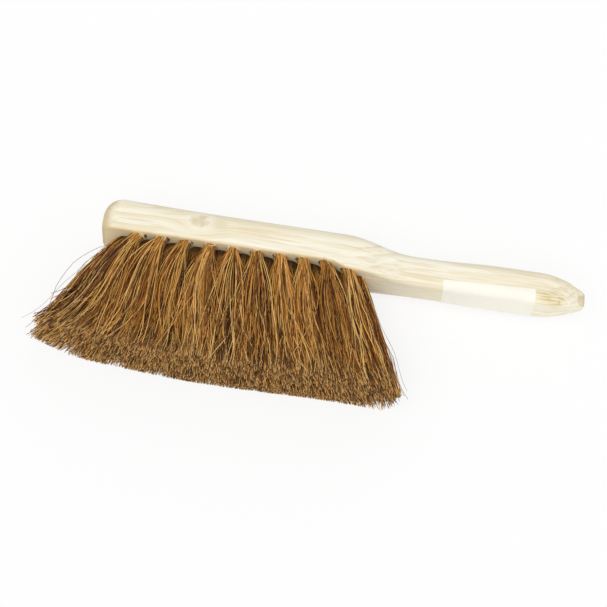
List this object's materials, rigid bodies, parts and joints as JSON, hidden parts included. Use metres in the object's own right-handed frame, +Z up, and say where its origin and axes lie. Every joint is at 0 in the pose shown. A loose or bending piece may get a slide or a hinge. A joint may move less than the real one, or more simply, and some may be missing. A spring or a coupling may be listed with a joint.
{
  "type": "hand broom",
  "caption": "Hand broom with a one-piece wooden block and handle and a fan of stiff coconut-fibre tufts stapled into drilled holes, lying on its side.",
  "frame": {"origin": "bottom centre of the broom's bounding box as it lies on its side, on the surface that it lies on", "axes": "+X along the handle towards its tip, -Y the way the bristles point, +Z up from the surface that the broom lies on"},
  "size_m": [0.3152, 0.0984, 0.0408],
  "materials": {
    "raw_wood": "bare, sanded, pale softwood",
    "coir_fibre": "coarse natural coconut fibre, low sheen",
    "steel_wire": "drawn plain wire",
    "label_paper": "matt white paper"
  },
  "bodies": {
    "root": {"wooden_stock": "raw_wood", "coir_tuft_upper_01": "coir_fibre", "coir_tuft_upper_02": "coir_fibre", "coir_tuft_upper_03": "coir_fibre", "coir_tuft_upper_04": "coir_fibre", "coir_tuft_upper_05": "coir_fibre", "coir_tuft_upper_06": "coir_fibre", "coir_tuft_upper_07": "coir_fibre", "coir_tuft_upper_08": "coir_fibre", "coir_tuft_upper_09": "coir_fibre", "coir_tuft_upper_10": "coir_fibre", "coir_tuft_upper_middle_01": "coir_fibre", "coir_tuft_upper_middle_02": "coir_fibre", "coir_tuft_upper_middle_03": "coir_fibre", "coir_tuft_upper_middle_04": "coir_fibre", "coir_tuft_upper_middle_05": "coir_fibre", "coir_tuft_upper_middle_06": "coir_fibre", "coir_tuft_upper_middle_07": "coir_fibre", "coir_tuft_upper_middle_08": "coir_fibre", "coir_tuft_upper_middle_09": "coir_fibre", "coir_tuft_upper_middle_10": "coir_fibre", "coir_tuft_upper_middle_11": "coir_fibre", "coir_tuft_lower_middle_01": "coir_fibre", "coir_tuft_lower_middle_02": "coir_fibre", "coir_tuft_lower_middle_03": "coir_fibre", "coir_tuft_lower_middle_04": "coir_fibre", "coir_tuft_lower_middle_05": "coir_fibre", "coir_tuft_lower_middle_06": "coir_fibre", "coir_tuft_lower_middle_07": "coir_fibre", "coir_tuft_lower_middle_08": "coir_fibre", "coir_tuft_lower_middle_09": "coir_fibre", "coir_tuft_lower_middle_10": "coir_fibre", "coir_tuft_lower_01": "coir_fibre", "coir_tuft_lower_02": "coir_fibre", "coir_tuft_lower_03": "coir_fibre", "coir_tuft_lower_04": "coir_fibre", "coir_tuft_lower_05": "coir_fibre", "coir_tuft_lower_06": "coir_fibre", "coir_tuft_lower_07": "coir_fibre", "coir_tuft_lower_08": "coir_fibre", "coir_tuft_lower_09": "coir_fibre", "coir_tuft_lower_10": "coir_fibre", "wire_staples": "steel_wire", "paper_label": "label_paper"}
  },
  "joints": []
}
